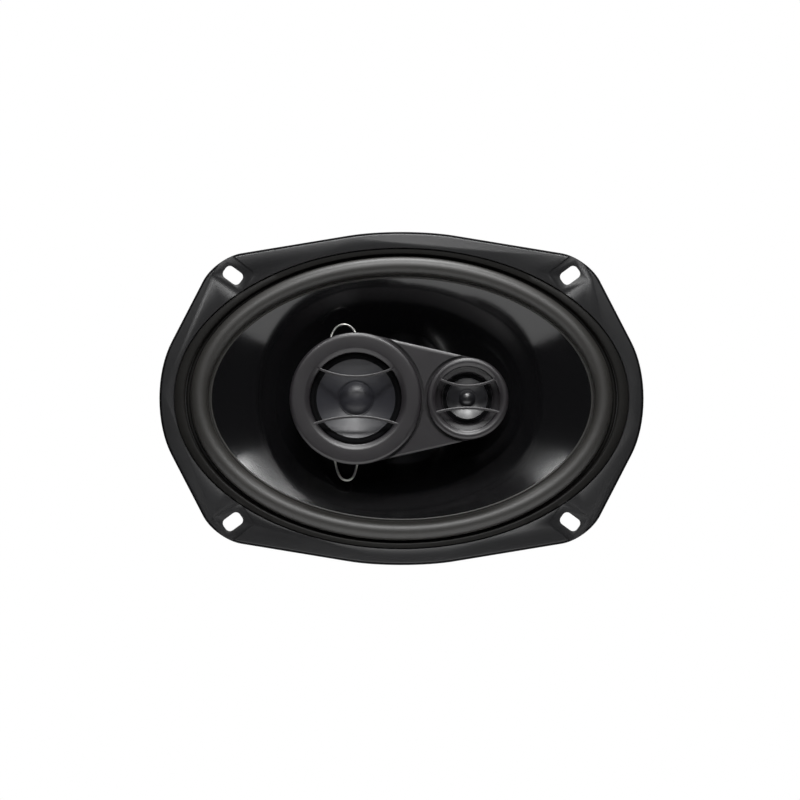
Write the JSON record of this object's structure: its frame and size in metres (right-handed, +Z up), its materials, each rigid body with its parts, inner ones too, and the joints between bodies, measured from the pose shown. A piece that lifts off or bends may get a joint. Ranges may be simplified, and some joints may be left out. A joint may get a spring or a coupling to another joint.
{
  "type": "coaxial car speaker",
  "caption": "Oval three-way coaxial car speaker with a slotted steel flange, glossy cone, and a pod across its front carrying a midrange and a tweeter.",
  "frame": {"origin": "on the speaker's axis, in the plane of the flange's rear face, where the speaker meets its panel", "axes": "+X to the right as seen from the front, along the oval's long axis; -Y forward, the way the speaker plays; +Z up"},
  "size_m": [0.236, 0.1019, 0.163],
  "materials": {
    "painted_steel": "semi-gloss black paint on pressed steel",
    "surround_rubber": "matt rubber, warm grey-black",
    "cone_gloss": "glossy black injection-moulded cone",
    "spider_cloth": "resin-stiffened woven cloth",
    "former_film": "heat-resistant amber film",
    "copper": "enamelled copper wire and braid",
    "felt": "black felt",
    "plated_steel": "zinc-plated machined steel",
    "ferrite": "ground ferrite",
    "pod_plastic": "satin black moulding",
    "paper_cone": "dark grey pressed paper",
    "dome_film": "glossy black film",
    "fibre_board": "brown phenolic board",
    "tinned_brass": "tinned brass",
    "bare_wire": "tinned wire",
    "insulation": "black insulation",
    "sleeve": "blue shrink sleeve"
  },
  "bodies": {
    "frame": {"basket_frame": "painted_steel", "woofer_surround": "surround_rubber", "spider": "spider_cloth", "top_plate": "plated_steel", "magnet": "ferrite", "t_yoke": "plated_steel", "centre_post": "plated_steel", "post_nut": "plated_steel", "top_plate_rivet_1": "plated_steel", "top_plate_rivet_2": "plated_steel", "top_plate_rivet_3": "plated_steel", "top_plate_rivet_4": "plated_steel", "terminal_board": "fibre_board", "board_rivet": "plated_steel", "positive_terminal": "tinned_brass", "positive_terminal_rivet": "plated_steel", "negative_terminal": "tinned_brass", "negative_terminal_rivet": "plated_steel", "tinsel_lead_positive": "copper", "tinsel_lead_negative": "copper", "pod_feed_wire_positive": "insulation", "pod_feed_wire_negative": "insulation", "midrange_lead_upper": "bare_wire", "midrange_lead_lower": "bare_wire", "pod_housing": "pod_plastic", "pod_faceplate": "pod_plastic", "midrange_bezel": "pod_plastic", "tweeter_bezel": "pod_plastic", "midrange_capacitor": "sleeve", "tweeter_capacitor": "sleeve", "midrange_frame": "pod_plastic", "midrange_surround": "surround_rubber", "midrange_spider": "spider_cloth", "midrange_top_plate": "plated_steel", "midrange_magnet": "ferrite", "midrange_yoke": "plated_steel", "tweeter_frame": "pod_plastic", "tweeter_surround": "dome_film", "tweeter_top_plate": "plated_steel", "tweeter_magnet": "ferrite", "tweeter_yoke": "plated_steel"},
    "woofer_diaphragm": {"woofer_cone": "cone_gloss", "voice_coil_former": "former_film", "voice_coil_winding": "copper", "dust_ring": "felt"},
    "midrange_diaphragm": {"midrange_cone": "paper_cone", "midrange_dust_cap": "paper_cone", "midrange_voice_coil": "copper"},
    "tweeter_diaphragm_body": {"tweeter_diaphragm": "dome_film", "tweeter_voice_coil": "copper"}
  },
  "joints": [
    {"name": "woofer_stroke", "type": "slide", "parent": "frame", "child": "woofer_diaphragm", "axis": [0, -1, 0], "range_m": [-0.005, 0.005], "stiffness_N_per_m": 2800, "deforming": ["woofer_surround", "spider", "tinsel_lead_positive", "tinsel_lead_negative"]},
    {"name": "midrange_stroke", "type": "slide", "parent": "frame", "child": "midrange_diaphragm", "axis": [0, -1, 0], "range_m": [-0.001, 0.001], "stiffness_N_per_m": 4000, "deforming": ["midrange_surround", "midrange_spider"]},
    {"name": "tweeter_stroke", "type": "slide", "parent": "frame", "child": "tweeter_diaphragm_body", "axis": [0, -1, 0], "range_m": [-0.0003, 0.0003], "stiffness_N_per_m": 5000, "deforming": ["tweeter_surround"]}
  ]
}
